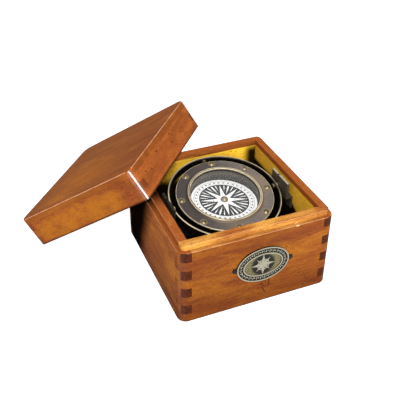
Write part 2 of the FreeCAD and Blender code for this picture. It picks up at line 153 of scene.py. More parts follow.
class CompassWoodSettings(bpy.types.PropertyGroup):
    outer: colour_setting("Outer wood", "Varnished outside of the box", 108, 57, 22)
    outer_dark: colour_setting("Outer wood, dark", "Dark clouds outside", 92, 45, 23)
    outer_light: colour_setting("Outer wood, light", "Amber clouds outside", 128, 77, 24)
    rim: colour_setting("Rim wood", "Top of the box's rim", 142, 76, 34)
    rim_light: colour_setting("Rim wood, light", "Amber streaks of the rim", 200, 144, 66)
    # The inner wood is the walls' paler inside, made lighter still as painted light where light
    # falls in the box
    inner: colour_setting("Inner wood", "Paler inside of the walls", 255, 202, 60)
    end_grain: colour_setting("End grain", "Ends of the boards in the finger joints", 52, 21, 11)
    lid_top: colour_setting("Lid top", "Brown top of the lid", 118, 66, 26)
    lid_side: colour_setting("Lid sides", "Red-brown sides of the lid", 117, 60, 29)
    # The lid's right side is a lighter copy of the sides' colour, as painted light
    lid_flank: colour_setting("Lid's right side", "Side that leans on the box", 132, 70, 31)
    lid_worn: colour_setting("Lid sides, worn", "Amber middle of the lid's sides", 147, 88, 22)
    # The worn edge is rubbed wood and also a painted highlight along the rounded edges
    wear: colour_setting("Worn edge", "Rubbed edges of the wood", 190, 146, 116)
    # Soot is the black of holes and wormholes, and also stands as painted shade in the box, under
    # the lid and along edges
    soot: colour_setting("Soot", "Blackened wood in the box and under the lid", 2, 2, 3)
    box_fingers: IntProperty(
        name="Box fingers", description="Fingers up each corner of the box", default=8, min=2)
    lid_fingers: IntProperty(
        name="Lid fingers", description="Fingers up each corner of the lid", default=3, min=1)
    wall: length_setting("Board thickness", "Thickness of the walls", 10, 2)
    tongue: length_setting("Tongue height", "Height of the raised lip above its shoulder", 5, 1)
    lid_heading: angle_setting("Lid heading", "Direction of the lying lid's upward slope", -40.3)
    lid_slope: angle_setting("Lid slope", "Slope of the lying lid", 34.968)
    lid_panel: length_setting("Lid panel", "Thickness of the lid's top", 6, 1)


class CompassMetalSettings(bpy.types.PropertyGroup):
    bronze: colour_setting("Bronze", "Dark patina of the bowl, ring and brackets", 101, 89, 77)
    # The rubbed brass of the edges also stands as painted highlights on the bezel, the ring and
    # the right bracket
    bright: colour_setting("Rubbed brass", "Edges rubbed bright", 196, 184, 152)
    brass: colour_setting("Aged brass", "Screws, cap and pins", 160, 144, 112)
    lining: colour_setting("Bowl lining", "Polished wall inside the bowl", 78, 66, 50)
    pewter: colour_setting("Badge metal", "Raised metal of the badge", 146, 142, 124)
    bezel_screws: IntProperty(
        name="Bezel screws", description="Screws round the bezel", default=8, min=3)
    screw_phase: angle_setting("First screw", "Direction of the bezel's first screw", -5.3)
    badge_field: colour_setting("Badge field", "Middle of the badge", 112, 104, 72)
    badge_ground: colour_setting("Badge ground", "Darkened ground of the badge", 30, 28, 24)


class CompassCardSettings(bpy.types.PropertyGroup):
    heading: angle_setting("Card heading", "North point from the box's back, counterclockwise",
                           -12)
    rose_radius: length_setting("Rose radius", "Radius of the dark rose", 21.6, 5)
    centre_radius: length_setting("Centre radius", "White round under the cap", 6.2, 1)
    scale_inner: length_setting("Scale inside", "Inner ring line of the degree scale", 22.8, 5)
    scale_outer: length_setting("Scale outside", "Outer ring line of the degree scale", 25.8, 5)
    white: colour_setting("Card white", "Ground of the card", 222, 221, 219)
    ink: colour_setting("Card ink", "Charcoal of the rose", 14, 15, 18)
    scale_ink: colour_setting("Scale ink", "Grey of the degree scale", 66, 68, 72)


class CompassBadgeSettings(bpy.types.PropertyGroup):
    marks: IntProperty(
        name="Marks", description="Bars and beads round the badge, together", default=60,
        min=8)
    star_radius: length_setting("Star radius", "Radius of the star in the badge's middle", 10.4, 1)


class CompassStageSettings(bpy.types.PropertyGroup):
    lens: FloatProperty(
        name="Lens", description="Camera's focal length in millimetres", default=61.446, min=1)
    floor: FloatVectorProperty(
        name="Floor", description="Plain pale floor", subtype="COLOR",
        default=(0.35, 0.35, 0.35), min=0, max=1)
    floor_glow: FloatProperty(
        name="Floor glow", description="Light of the floor itself, as of a light table",
        default=0.95, min=0)
    overhead_power: power_setting("Overhead light", "Power of the large light over the floor",
                                  46.0)
    key_power: power_setting("Key light", "Power of the soft light from the front left", 20.0)
    front_power: power_setting("Front light", "Power of the low light in front", 10.0)
    sky: FloatProperty(
        name="Surrounding light", description="Strength of the white surroundings",
        default=0.6, min=0)


# ---- shader building ----
class Wire:
    """A shader socket that takes Python arithmetic, one Math node for each step."""

    def __init__(self, builder, socket):
        self.builder = builder
        self.socket = socket

    def maths(self, operation, *others):
        return self.builder.node("ShaderNodeMath", {"operation": operation},
                                 dict(enumerate((self,) + others)))

    def __add__(self, other):
        return self.maths("ADD", other)

    def __sub__(self, other):
        return self.maths("SUBTRACT", other)

    def __mul__(self, other):
        return self.maths("MULTIPLY", other)

    def __truediv__(self, other):
        return self.maths("DIVIDE", other)

    def __rsub__(self, other):
        return (self * -1) + other

    __radd__ = __add__
    __rmul__ = __mul__

    def __abs__(self):
        return self.maths("ABSOLUTE")

    def least(self, other):
        return self.maths("MINIMUM", other)

    def most(self, other):
        return self.maths("MAXIMUM", other)

    def smooth(self, low, high):
        """0 below low and 1 above high, with a soft step between; low may be the higher."""
        return self.builder.node("ShaderNodeMapRange", {"interpolation_type": "SMOOTHSTEP"},
                                 {"Value": self, "From Min": low, "From Max": high})

    def band(self, middle, half_width, edge):
        """1 within half_width of the middle, with soft edges."""
        return abs(self - middle).smooth(half_width + edge, half_width)


class Nodes:
    """Builds the nodes of a tree."""

    def __init__(self, tree):
        self.tree = tree

    def node(self, kind, settings=None, inputs=None, out=0):
        """Adds a node: its settings first, then the values or links of its sockets."""
        node = self.tree.nodes.new(kind)
        for key, value in (settings or {}).items():
            setattr(node, key, value)
        for key, value in (inputs or {}).items():
            if isinstance(value, Wire):
                self.tree.links.new(value.socket, node.inputs[key])
            else:
                node.inputs[key].default_value = value
        return Wire(self, node.outputs[out])

    def end(self, kind, wire):
        """Adds an output node for a wire."""
        self.tree.links.new(wire.socket, self.tree.nodes.new(kind).inputs[0])

    def split(self, vector):
        """The three parts of a vector."""
        node = self.tree.nodes.new("ShaderNodeSeparateXYZ")
        self.tree.links.new(vector.socket, node.inputs[0])
        return [Wire(self, output) for output in node.outputs]


class Builder(Nodes):
    """Builds one material's nodes."""

    def __init__(self, name):
        self.material = bpy.data.materials.new(name)
        self.material.use_nodes = True
        super().__init__(self.material.node_tree)
        self.tree.nodes.clear()

    def vector(self, operation, *values, out=0):
        return self.node("ShaderNodeVectorMath", {"operation": operation},
                         dict(enumerate(values)), out)

    def point(self):
        """The place on the surface in metres."""
        return self.node("ShaderNodeTexCoord", out="Object")

    def normal(self):
        return self.node("ShaderNodeTexCoord", out="Normal")

    def mapped(self, vector, place=(0, 0, 0), turn=(0, 0, 0), scale=(1, 1, 1), kind="TEXTURE"):
        """The vector in the frame that stands at place, turned and scaled so."""
        return self.node("ShaderNodeMapping", {"vector_type": kind},
                         {"Vector": vector, "Location": place, "Rotation": turn,
                          "Scale": scale})

    def noise(self, vector, scale, detail=3.0, roughness=0.55, distortion=0.0):
        return self.node("ShaderNodeTexNoise", None,
                         {"Vector": vector, "Scale": scale, "Detail": detail,
                          "Roughness": roughness, "Distortion": distortion})

    def scatter(self, scale, detail=3.0, roughness=0.55):
        """Noise over the piece."""
        return self.noise(self.point(), scale, detail, roughness)

    def mix(self, share, first, second, blend="MIX"):
        """Blends two colours, which are wires or plain."""
        colours = [c if isinstance(c, Wire) else (*tuple(c)[:3], 1) for c in (first, second)]
        return self.node("ShaderNodeMix", {"data_type": "RGBA", "blend_type": blend},
                         {0: share, 6: colours[0], 7: colours[1]}, 2)

    def tint(self, share, colour, factors):
        """Multiplies a share of a colour by three factors."""
        return self.mix(share, colour, factors, "MULTIPLY")

    def bump(self, height, strength, distance):
        return self.node("ShaderNodeBump", None,
                         {"Height": height, "Strength": strength, "Distance": distance})

    def finish(self, values, constants=None):
        """Adds the surface shader. What varies is in values and what doesn't in constants."""
        surface = self.node("ShaderNodeBsdfPrincipled", None, {**(constants or {}), **values})
        self.end("ShaderNodeOutputMaterial", surface)
        return self.material

    def about_axis(self, centre, axis):
        """Radius about an axis and height along it, in millimetres, and the square-on share
        of the surface."""
        from_centre = self.vector("SUBTRACT", self.point(), tuple(centre))
        height = self.vector("DOT_PRODUCT", from_centre, tuple(axis), out="Value")
        length = self.vector("LENGTH", from_centre, out="Value")
        radius = (length * length - height * height).maths("SQRT")
        facing = self.vector("DOT_PRODUCT", self.normal(), tuple(axis), out="Value")
        return radius / MM, height / MM, facing


# ---- mesh building ----
def add_piece(name, mesh, material, body):
    """Puts a finished mesh in the scene, riding on a body."""
    mesh.materials.append(material)
    mesh.update()
    piece = bpy.data.objects.new(name, mesh)
    bpy.context.scene.collection.objects.link(piece)
    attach(piece, body)


def plain_mesh(name, joined):
    """The mesh of a bmesh, which is freed."""
    mesh = bpy.data.meshes.new(name)
    joined.to_mesh(mesh)
    joined.free()
    return mesh


def joined_meshes(name, meshes, outwards=False):
    """One mesh of several that share a material, with its faces turned outwards if asked."""
    joined = bmesh.new()
    for mesh in meshes:
        joined.from_mesh(mesh)
        bpy.data.meshes.remove(mesh)
    if outwards:
        bmesh.ops.recalc_face_normals(joined, faces=joined.faces)
    return plain_mesh(name, joined)


def clean_mesh(name, parts):
    """Joins bmesh parts into one mesh with outward faces."""
    return joined_meshes(name, [plain_mesh("part", part) for part in parts], True)


def polar(radius, angle):
    return radius * math.cos(angle), radius * math.sin(angle)


def leaf(points, angle):
    """The outline of a shape from (radius, half-width) points, laid out along a direction."""
    cos, sin = math.cos(angle), math.sin(angle)
    outline = [(r, -w) for r, w in points] + [(r, w) for r, w in points[::-1] if w > 0]
    return [(r * cos - s * sin, r * sin + s * cos) for r, s in outline]


def plate(outline, low, high, crown=0.0):
    """A flat plate of an outline between two heights; crown lifts a middle point into a roof."""
    part = bmesh.new()
    bottom = [part.verts.new((x, y, low)) for x, y in outline]
    top = [part.verts.new((x, y, high)) for x, y in outline]
    sides = list(zip(bottom, bottom[1:] + bottom[:1], top[1:] + top[:1], top))
    part.faces.new(bottom[::-1])
    if crown > 0:
        middle = [sum(values) / len(outline) for values in zip(*outline)]
        peak = part.verts.new((*middle, high + crown))
        for _, _, after, before in sides:
            part.faces.new((before, after, peak))
    else:
        part.faces.new(top)
    for side in sides:
        part.faces.new(side)
    return part


def bar(half_length, half_width, low, high):
    """A flat bar between two heights."""
    return plate([(-half_length, -half_width), (half_length, -half_width),
                  (half_length, half_width), (-half_length, half_width)], low, high)


def flat_ring(inner, outer, low, high, steps=180):
    """A flat ring between two heights."""
    part = bmesh.new()
    angles = [2 * math.pi * k / steps for k in range(steps)]
    loops = [[part.verts.new((*polar(radius, angle), height)) for angle in angles]
             for radius, height in ((inner, low), (outer, low), (outer, high), (inner, high))]
    for first, second in zip(loops, loops[1:] + loops[:1]):
        for k in range(steps):
            after = (k + 1) % steps
            part.faces.new((first[k], first[after], second[after], second[k]))
    return part


def evaluated_mesh(holder):
    """The mesh that an object comes to with its modifiers; the object is removed."""
    bpy.context.scene.collection.objects.link(holder)
    graph = bpy.context.evaluated_depsgraph_get()
    mesh = bpy.data.meshes.new_from_object(holder.evaluated_get(graph))
    bpy.data.objects.remove(holder)
    return mesh


def repeat_tree(name):
    """A node tree that sets a shape on every so many points of an oval and makes it plain.

    The shape's X axis points along the oval and its Y axis inwards or outwards.
    """
    tree = bpy.data.node_groups.new(name, "GeometryNodeTree")
    for label, kind in (("Geometry", "Geometry"), ("Count", "Int"), ("Radius X", "Float"),
                        ("Radius Y", "Float"), ("Every", "Int"), ("First", "Int"),
                        ("Material", "Material")):
        tree.interface.new_socket(label, in_out="INPUT", socket_type="NodeSocket" + kind)
    tree.interface.new_socket("Geometry", in_out="OUTPUT", socket_type="NodeSocketGeometry")
    t = Nodes(tree)
    given = {socket.name: Wire(t, socket)
             for socket in tree.nodes.new("NodeGroupInput").outputs}
    circle = t.node("GeometryNodeCurvePrimitiveCircle", None, {"Resolution": 512, "Radius": 1})
    scale = t.node("ShaderNodeCombineXYZ", None,
                   {"X": given["Radius X"], "Y": given["Radius Y"], "Z": 1})
    oval = t.node("GeometryNodeTransform", None, {"Geometry": circle, "Scale": scale})
    spaced = t.node("GeometryNodeResampleCurve", None, {"Curve": oval, "Count": given["Count"]})
    turn = t.node("FunctionNodeAlignRotationToVector", {"axis": "X", "pivot_axis": "Z"},
                  {"Vector": t.node("GeometryNodeInputTangent")})
    rest = t.node("GeometryNodeInputIndex").maths("MODULO", given["Every"])
    chosen = rest.maths("COMPARE", given["First"], 0.1)
    copies = t.node("GeometryNodeInstanceOnPoints", None,
                    {"Points": spaced, "Selection": chosen, "Instance": given["Geometry"],
                     "Rotation": turn})
    plain = t.node("GeometryNodeRealizeInstances", None, {"Geometry": copies})
    t.end("NodeGroupOutput", t.node("GeometryNodeSetMaterial", None,
                                    {"Geometry": plain, "Material": given["Material"]}))
    return tree


def repeated(shape, material, count, radius_x, radius_y, every=1, first=0):
    """Copies of a bmesh shape round an oval, as one plain mesh."""
    name = "Repeat round an oval"
    tree = bpy.data.node_groups.get(name) or repeat_tree(name)
    unit = clean_mesh("unit", [shape])
    holder = bpy.data.objects.new("holder", unit)
    modifier = holder.modifiers.new("repeat", "NODES")
    modifier.node_group = tree
    values = {"Count": count, "Radius X": radius_x, "Radius Y": radius_y, "Every": every,
              "First": first, "Material": material}
    for item in tree.interface.items_tree:
        if item.in_out == "INPUT" and item.name in values:
            modifier[item.identifier] = values[item.name]
    mesh = evaluated_mesh(holder)
    bpy.data.meshes.remove(unit)
    return mesh


def text_mesh(text, size, depth):
    """Plain figures or letters as a thin mesh, centred."""
    curve = bpy.data.curves.new("figure", "FONT")
    curve.body = text
    curve.size = size
    curve.extrude = depth
    curve.resolution_u = 3
    curve.align_x = "CENTER"
    curve.align_y = "CENTER"
    mesh = evaluated_mesh(bpy.data.objects.new("figure", curve))
    bpy.data.curves.remove(curve)
    return mesh


def scaled(colour, *factors):
    """A colour times one factor, or times one for each of red, green and blue."""
    return tuple(part * factors[k % len(factors)] for k, part in enumerate(colour))


def dress(node, material):
    """Gives a solid of the frame its finish."""
    piece = frame["nodes"][node]
    piece.data.materials.clear()
    piece.data.materials.append(material)


# ---- wood ----
class Timber:
    """The frame that a set of boards is measured in, in millimetres, with what they share."""

    def __init__(self, half, inner, fingers, finger_top, rims, place=(0, 0, 0), turn=(0, 0, 0)):
        self.half = half
        self.inner = inner
        self.pitch = finger_top / fingers
        self.finger_top = finger_top
        self.rims = rims
        self.place = place
        self.turn = turn


def box_timber():
    """The box's own measures, read from the frame."""
    wood = bpy.context.scene.compass_wood
    half = -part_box("left_wall")[0].x / MM
    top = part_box("front_wall")[1].z / MM
    shoulder = top - wood.tongue / MM
    inner = half - wood.wall / MM
    return Timber(half, inner, wood.box_fingers, shoulder,
                  ((half, shoulder, ARRIS), (half - SHOULDER, top, ARRIS)))


def lid_timber():
    """The lid's own measures; its frame stands at the lid's middle with the rim down."""
    wood = bpy.context.scene.compass_wood
    turn = (Matrix.Rotation(wood.lid_heading, 3, "Z")
            @ Matrix.Rotation(-wood.lid_slope, 3, "Y"))
    corners = [turn.inverted() @ Vector(v.co)
               for name in ("lid_panel", "lid_front", "lid_back", "lid_left", "lid_right")
               for v in frame["nodes"][name].data.vertices]
    low = Vector([min(c[k] for c in corners) for k in range(3)])
    high = Vector([max(c[k] for c in corners) for k in range(3)])
    middle = Vector(((low.x + high.x) / 2, (low.y + high.y) / 2, low.z))
    half = (high.x - low.x) / 2 / MM
    height = (high.z - low.z) / MM
    return Timber(half, half - wood.wall / MM, wood.lid_fingers,
                  height - wood.lid_panel / MM, ((half, height, LID_EDGE),),
                  tuple(turn @ middle), tuple(turn.to_euler()))


def near(first, second, spots):
    """1 inside small round spots, given as (first, second, radius)."""
    soft = 0.25
    total = 0
    for a, b, radius in spots:
        across = first - a
        along = second - b
        distance = (across * across + along * along).maths("SQRT")
        total = distance.smooth(radius + soft, radius - soft) + total
    return total.least(1)


def wood_finish(name, timber, along, tones, seed, ends=0.85, paint=None, corner_gloss=0.1):
    """Varnished wood with its grain along one axis (0 or 1) of the timber's frame.

    tones holds the dark, the middle and the light of the grain, and ends is how strongly the
    boards' ends show. paint takes the builder and the colour, and gives the colour with what
    only this board has. corner_gloss is the varnish's shine on the rounded corners.
    """
    wood = bpy.context.scene.compass_wood
    b = Builder(name)
    place = b.mapped(b.point(), timber.place, timber.turn, (MM, MM, MM))
    x, y, z = b.place = b.split(place)
    faces = b.faces = b.split(b.mapped(b.normal(), (0, 0, 0), timber.turn))
    outwards = abs(x).most(abs(y))
    b.outside = outwards.smooth(timber.inner + 0.05, timber.inner + 0.15)

    def stretched(length, width, shift=0.0):
        """Noise room in which the grain is so long and so wide."""
        scale = [1 / width] * 3
        scale[along] = 1 / length
        return b.mapped(place, (seed + shift, seed * 1.7, shift), (0, 0, 0), tuple(scale),
                        "POINT")

    clouds = b.noise(stretched(60, 13), 1, 4, 0.6, 0.5)
    amber = b.amber = b.noise(stretched(44, 12, 5), 1, 4, 0.6, 0.5)
    grain = b.grain = b.noise(stretched(22, 0.8, 9), 1, 4, 0.65, 0.4)
    fleck = b.noise(stretched(2.6, 0.9, 13), 1, 3, 0.7)
    pores = b.noise(stretched(3.0, 0.4, 3), 1, 1, 0.5).smooth(0.62, 0.7)
    dark, middle, light = tones
    colour = b.mix(clouds.smooth(0.3, 0.62), dark, middle)
    colour = b.mix(amber.smooth(0.42, 0.72) * 0.85, colour, light)
    colour = b.tint(grain.smooth(0.42, 0.66) * 0.4, colour, (0.66, 0.56, 0.5))
    colour = b.tint(fleck.smooth(0.3, 0.7), colour, (1.3, 1.26, 1.15))
    hatch = b.noise(stretched(5, 0.55, 27), 1, 2, 0.6).smooth(0.56, 0.68)
    colour = b.tint(hatch * 0.4, colour, (0.6, 0.52, 0.5))
    b.matt = 0
    if paint is not None:
        colour = paint(b, colour)
    # ends of the boards, with a dark line round each finger
    end = abs(faces[along]).smooth(0.5, 0.75) * z.smooth(timber.finger_top + 0.2,
                                                        timber.finger_top - 0.2)
    rings = b.noise(stretched(1.3, 3.2, 21), 1, 3, 0.65)
    end_colour = b.mix(rings.smooth(0.35, 0.65), scaled(wood.end_grain, 0.7),
                       scaled(wood.end_grain, 1.6))
    colour = b.mix(end * ends, colour, end_colour)
    step = (z / timber.pitch).maths("FRACT")
    seam = (step.least(1 - step) * timber.pitch).smooth(0.4, 0.08)
    across = abs((x, y)[1 - along])
    seam = seam.most(across.band(timber.inner, 0.1, 0.25)) * end
    colour = b.mix(seam * 0.7 * ends, colour, scaled(wood.end_grain, 0.3))
    # pores, pinholes and bruises
    cells = {"Vector": stretched(9, 8, 31), "Scale": 1.0}
    spots = b.node("ShaderNodeTexVoronoi", None, cells, "Distance")
    red, green, _ = b.split(b.node("ShaderNodeTexVoronoi", None, cells, "Color"))
    hole = spots.smooth(0.07, 0.045) * red.smooth(0.72, 0.76)
    bruise = spots.smooth(0.22, 0.04) * green.smooth(0.74, 0.82) * 0.4
    colour = b.mix(pores * 0.5, colour, scaled(dark, 0.3))
    colour = b.mix(hole.most(bruise) * 0.8, colour, wood.soot)
    # the arrises are rubbed to a thin pale line, which is also a painted highlight along them
    patchy = b.noise(place, 0.2, 3).smooth(0.3, 0.6)
    for half, top, radius in timber.rims:
        out = (outwards - (half - radius)).most(0)
        up = (z - (top - radius)).most(0)
        line = (out - up).band(0, radius * 0.08, radius * 0.24)
        line = line * (out + up).smooth(radius, radius * 1.3)
        line = line * outwards.smooth(half - radius * 3, half - radius * 2)
        colour = b.mix(line * (0.45 + patchy * 0.5), colour, wood.wear)
    height = grain * 0.5 + fleck * 0.5 - pores * 0.6 - hole * 3 - seam * 1.5
    corner = abs(faces[0] * faces[1]).smooth(0.3, 0.42)
    # painted shade: the rounded corners are blackened where they turn away from the view
    grazing = b.node("ShaderNodeLayerWeight", None, {"Blend": 0.5}, "Facing").smooth(0.62, 0.86)
    colour = b.mix(grazing * abs(faces[0] * faces[1]).smooth(0.02, 0.1) * 0.8, colour,
                   wood.soot)
    return b.finish({"Base Color": colour, "Roughness": 0.42 + grain * 0.14,
                     "Coat Weight": (corner * corner_gloss + 0.04) * (1 - b.matt),
                     "Normal": b.bump(height, 0.3, 0.0001)},
                    {"Coat Roughness": 0.04, "Coat IOR": 1.7, "Specular IOR Level": 0.0})


def box_paint(shade, light_above=LIGHT_ABOVE, gold=0.35, amber=0.0):
    """Paint for a wall of the box: its rim, painted light and shade on its outside, and its pale
    inside, partly painted light, with a painted shadow below a height.

    shade takes the builder and gives the share of painted shade, and of pits, a crack and
    wormholes, that only this wall has. gold is the share of pale streaks on the rim, and amber
    turns the inside towards the rim's colour.
    """
    def paint(b, colour):
        wood = bpy.context.scene.compass_wood
        x, _, z = b.place
        shoulder = box_timber().finger_top
        # painted shade: the walls are darker towards the bottom
        colour = b.tint(z.smooth(45, 0), colour, (0.74, 0.69, 0.66))
        # painted light: the right of the front and the left wall are made lighter
        left = (b.faces[0] * -1).smooth(0.5, 0.9)
        lighter = (x.smooth(0, 60) * 0.5).most(left) * b.outside
        colour = b.tint(lighter * z.smooth(5, 35), colour, (1.44, 1.52, 1.46))
        # painted shade: a dark line along the box's bottom edge
        colour = b.mix(z.smooth(2.0, 0.7) * b.outside * 0.8, colour, wood.soot)
        rim = (b.faces[2].smooth(0.3, 0.7) * z.smooth(shoulder - 1.5, shoulder - 0.5)) \
            .most(z.smooth(shoulder + 0.1, shoulder + 0.5))
        streaks = b.amber * 0.6 + b.grain * 0.4
        pale = b.mix(streaks.smooth(0.62 - gold * 0.26, 0.8 - gold * 0.22), wood.rim,
                     wood.rim_light)
        specks = b.scatter(900, 2, 0.6).smooth(0.5, 0.64)
        pale = b.tint(specks * 0.45, pale, (0.6, 0.5, 0.42))
        colour = b.mix(rim * 0.9, colour, pale)
        low_rim = rim * z.smooth(shoulder + 0.5, shoulder + 0.1)
        colour = b.tint(low_rim * gold, colour, (0.78, 0.78, 0.9))
        # the pale inside: the wood's paler colour, partly painted light
        inside = (1 - b.outside) * (1 - rim)
        pale = b.mix((streaks.smooth(0.45, 0.7) * 0.25 + amber).least(1), wood.inner, wood.rim)
        colour = b.mix(inside * 0.98, colour, pale)
        # painted shadow: the inside is blackened below a height, together with the wall's own
        # painted shade and pits
        ragged = b.scatter(90, 3) * 8 - 4
        black = (z + ragged).smooth(light_above + 4, light_above - 6) * inside
        black = b.matt = black.most(shade(b))
        # a pale chip in the front's ledge, partly a painted highlight
        chip_and_glint = (x - CHIP_AND_GLINT[0]).band(0, 0.9, 0.9) * (z - x * 0.05).band(CHIP_AND_GLINT[1], 0.4, 0.3) \
            * (b.faces[1] * -1).smooth(0.2, 0.5) * b.outside
        colour = b.mix(chip_and_glint * 0.85, colour, (0.8, 0.62, 0.4))
        return b.mix(black * 0.99, colour, wood.soot)
    return paint


def back_shade(b):
    """Painted shade in the box's back right corner, with two wormholes."""
    x, _, z = b.place
    corner = x.smooth(42, 52) * z.smooth(76, 64)
    return corner.most(near(x, z, BACK_WORMHOLES)) * (1 - b.outside)


def right_shade(b):
    """Painted shadow on the right wall's inside, higher towards the bracket."""
    _, y, z = b.place
    line = (y * 0.5 + 61).least(57)
    return (z - line).smooth(2, -3) * (1 - b.outside)


def left_shade(b):
    """Painted shadow on the left wall under the lying lid."""
    _, y, z = b.place
    ragged = b.scatter(60, 2) * 6 - 3
    return (y + z * 0.4 + ragged).smooth(14, 42) * b.outside


def front_shade(b):
    """Pits and a crack round the badge."""
    x, _, z = b.place
    pits = near(x, z, FRONT_PITS)
    crack = x.band(10.5, 0.3, 0.25) * z.band(20, 3.4, 1)
    crack = crack.most((x + z * 0.5).band(12, 0.25, 0.3) * z.band(12, 3, 1))
    return pits.most(crack) * b.outside * 0.8


def lid_paint(spots=(), worn=False):
    """Paint for a side of the lid: its pale inside, wormholes at (along, up, radius), and
    the amber middle of a worn side."""
    def paint(b, colour):
        wood = bpy.context.scene.compass_wood
        x, y, z = b.place
        if worn:
            ragged = b.scatter(70, 4) * 14 - 7
            middle = (z + ragged).band(11, 7, 6) * (abs(x + 6) + ragged).smooth(60, 40)
            mottle = b.scatter(110, 5, 0.7)
            dirt = b.scatter(700, 2, 0.6).smooth(0.58, 0.68) \
                * (abs(x + 6) + z * 1.2 + ragged).smooth(44, 70)
            colour = b.mix(middle * b.outside * mottle.smooth(0.2, 0.62) * 0.85, colour,
                           wood.lid_worn)
            colour = b.mix(dirt * b.outside * 0.55, colour, scaled(wood.lid_side, 0.2))
        if spots:
            colour = b.mix(near(y, z, spots) * b.outside * 0.85, colour, wood.soot)
        # painted shade: a dark line along the lid's bottom edge
        colour = b.mix(z.smooth(1.8, 0.7) * 0.75, colour, wood.soot)
        # the pale inside colour, which is partly painted light
        return b.mix((1 - b.outside) * 0.85, colour, wood.inner)
    return paint


def lid_top_paint(b, colour):
    """An amber middle painted as a pool of light, a darker, redder right side painted as shade,
    and painted shade along the far edges.
    """
    x, y, z = b.place
    half, top, _ = lid_timber().rims[0]
    # painted shade: a dark line along the far edges of the top
    far = (x * -1).most(y).smooth(half - 1.8, half - 0.9) * z.smooth(top - 3, top - 2)
    soft = b.scatter(14, 3) * 40 - 20
    # painted light: an amber pool in the middle; painted shade: darker and redder to the right
    amber = (abs(x + 8) + soft).smooth(58, 8) * (abs(y + 26) + soft).smooth(52, 6)
    colour = b.tint(amber, colour, (1.35, 1.35, 0.85))
    colour = b.tint((x + soft).smooth(10, 60) * 0.7, colour, (0.95, 0.82, 0.85))
    return b.mix(far * 0.8, colour, bpy.context.scene.compass_wood.soot)


# ---- metal ----
def metal_finish(b, colour, roughness, height, strength=0.25, metallic=1.0, specular=0.5):
    """Finishes a builder's metal, with a height in which its fine relief shows."""
    return b.finish({"Base Color": colour, "Roughness": roughness,
                     "Normal": b.bump(height, strength, 0.00005)},
                    {"Metallic": metallic, "Specular IOR Level": specular})


def patina(b, base, dark_share=0.5):
    """A mottled metal colour, with the noises that made it."""
    mottle = b.scatter(420, 4, 0.6)
    fine = b.scatter(2600, 2, 0.6)
    colour = b.mix(mottle.smooth(0.35, 0.7), scaled(base, 1 - dark_share), base)
    return colour, mottle, fine


def bezel_finish():
    """Bronze with edges rubbed bright and also painted as highlights, and painted shade at the far
    left.
    """
    metal = bpy.context.scene.compass_metal
    b = Builder("bezel bronze")
    radius, height, _ = b.about_axis(GIMBAL_CENTRE, BOWL_AXIS)
    base = scaled(metal.bronze, 1.1, 1.18, 1.4)
    colour, mottle, fine = patina(b, base, 0.25)
    olive = b.scatter(38, 2).smooth(0.45, 0.65)
    colour = b.mix(olive * 0.7, colour, scaled(base, 1.25, 1.08, 0.75))
    colour = b.mix(radius.smooth(LIP_CREST + 2, LIP_CREST + 1.6) * 0.8, colour,
                   scaled(base, 1.2, 1.05, 0.75))
    # painted shade: the far left of the bezel is darkened
    x, y, _ = b.split(b.point())
    near_side = (x * 0.9 - y * 0.4) / MM
    colour = b.tint(near_side.smooth(22, -26), colour, (0.32, 0.31, 0.33))
    # edge and lip lines rubbed bright, which are also painted highlights
    edge = radius.smooth(BEZEL_EDGE - 0.6, BEZEL_EDGE - 0.3)
    lip = radius.band(LIP_CREST, 0.22, 0.25) + radius.band(BEZEL_BORE + 0.3, 0.2, 0.2)
    lip = lip * height.smooth(FLAT_HEIGHT + 0.4, FLAT_HEIGHT + 0.8)
    worn = b.scatter(120, 2).smooth(0.3, 0.6)
    bright = edge.most(lip).least(1) * (0.55 + worn * 0.45)
    colour = b.mix(bright, colour, metal.bright)
    return metal_finish(b, colour, 0.46 + mottle * 0.12 - bright * 0.2, fine + mottle,
                        metallic=0.3, specular=0.3)


def ring_finish():
    """Dark bronze with a rubbed outer edge, which is also a painted highlight."""
    metal = bpy.context.scene.compass_metal
    b = Builder("gimbal ring bronze")
    radius, height, _ = b.about_axis(GIMBAL_CENTRE, BOWL_AXIS)
    colour, mottle, fine = patina(b, scaled(metal.bronze, 0.5), 0.4)
    # rubbed top edge, also a painted highlight
    top = height.smooth(3.3, 3.7) * radius.smooth(RING_EDGE - 1.2, RING_EDGE - 0.8)
    worn = b.scatter(70, 2).smooth(0.35, 0.6)
    bright = top * (0.6 + worn * 0.4)
    colour = b.mix(bright, colour, metal.bright)
    return metal_finish(b, colour, 0.42 - bright * 0.14, fine + mottle)


def bracket_finish(name, tone, share):
    """Bronze of a tone, whose top edges are paler by a share as a painted highlight; a low tone is
    painted shade.
    """
    metal = bpy.context.scene.compass_metal
    b = Builder(name)
    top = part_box("left_bracket")[1].z / MM
    _, _, z = b.split(b.point())
    colour, mottle, fine = patina(b, scaled(metal.bronze, tone), 0.5)
    edge = (z / MM).smooth(top - 0.6, top - 0.2)
    colour = b.mix(edge * share, colour, metal.bright)
    return metal_finish(b, colour, 0.5 + mottle * 0.15, fine + mottle, metallic=0.4)


def shell_finish():
    """Dark bronze of the bowl."""
    metal = bpy.context.scene.compass_metal
    b = Builder("bowl bronze")
    colour, mottle, fine = patina(b, scaled(metal.bronze, 0.45), 0.45)
    return metal_finish(b, colour, 0.4 + mottle * 0.2, fine + mottle)


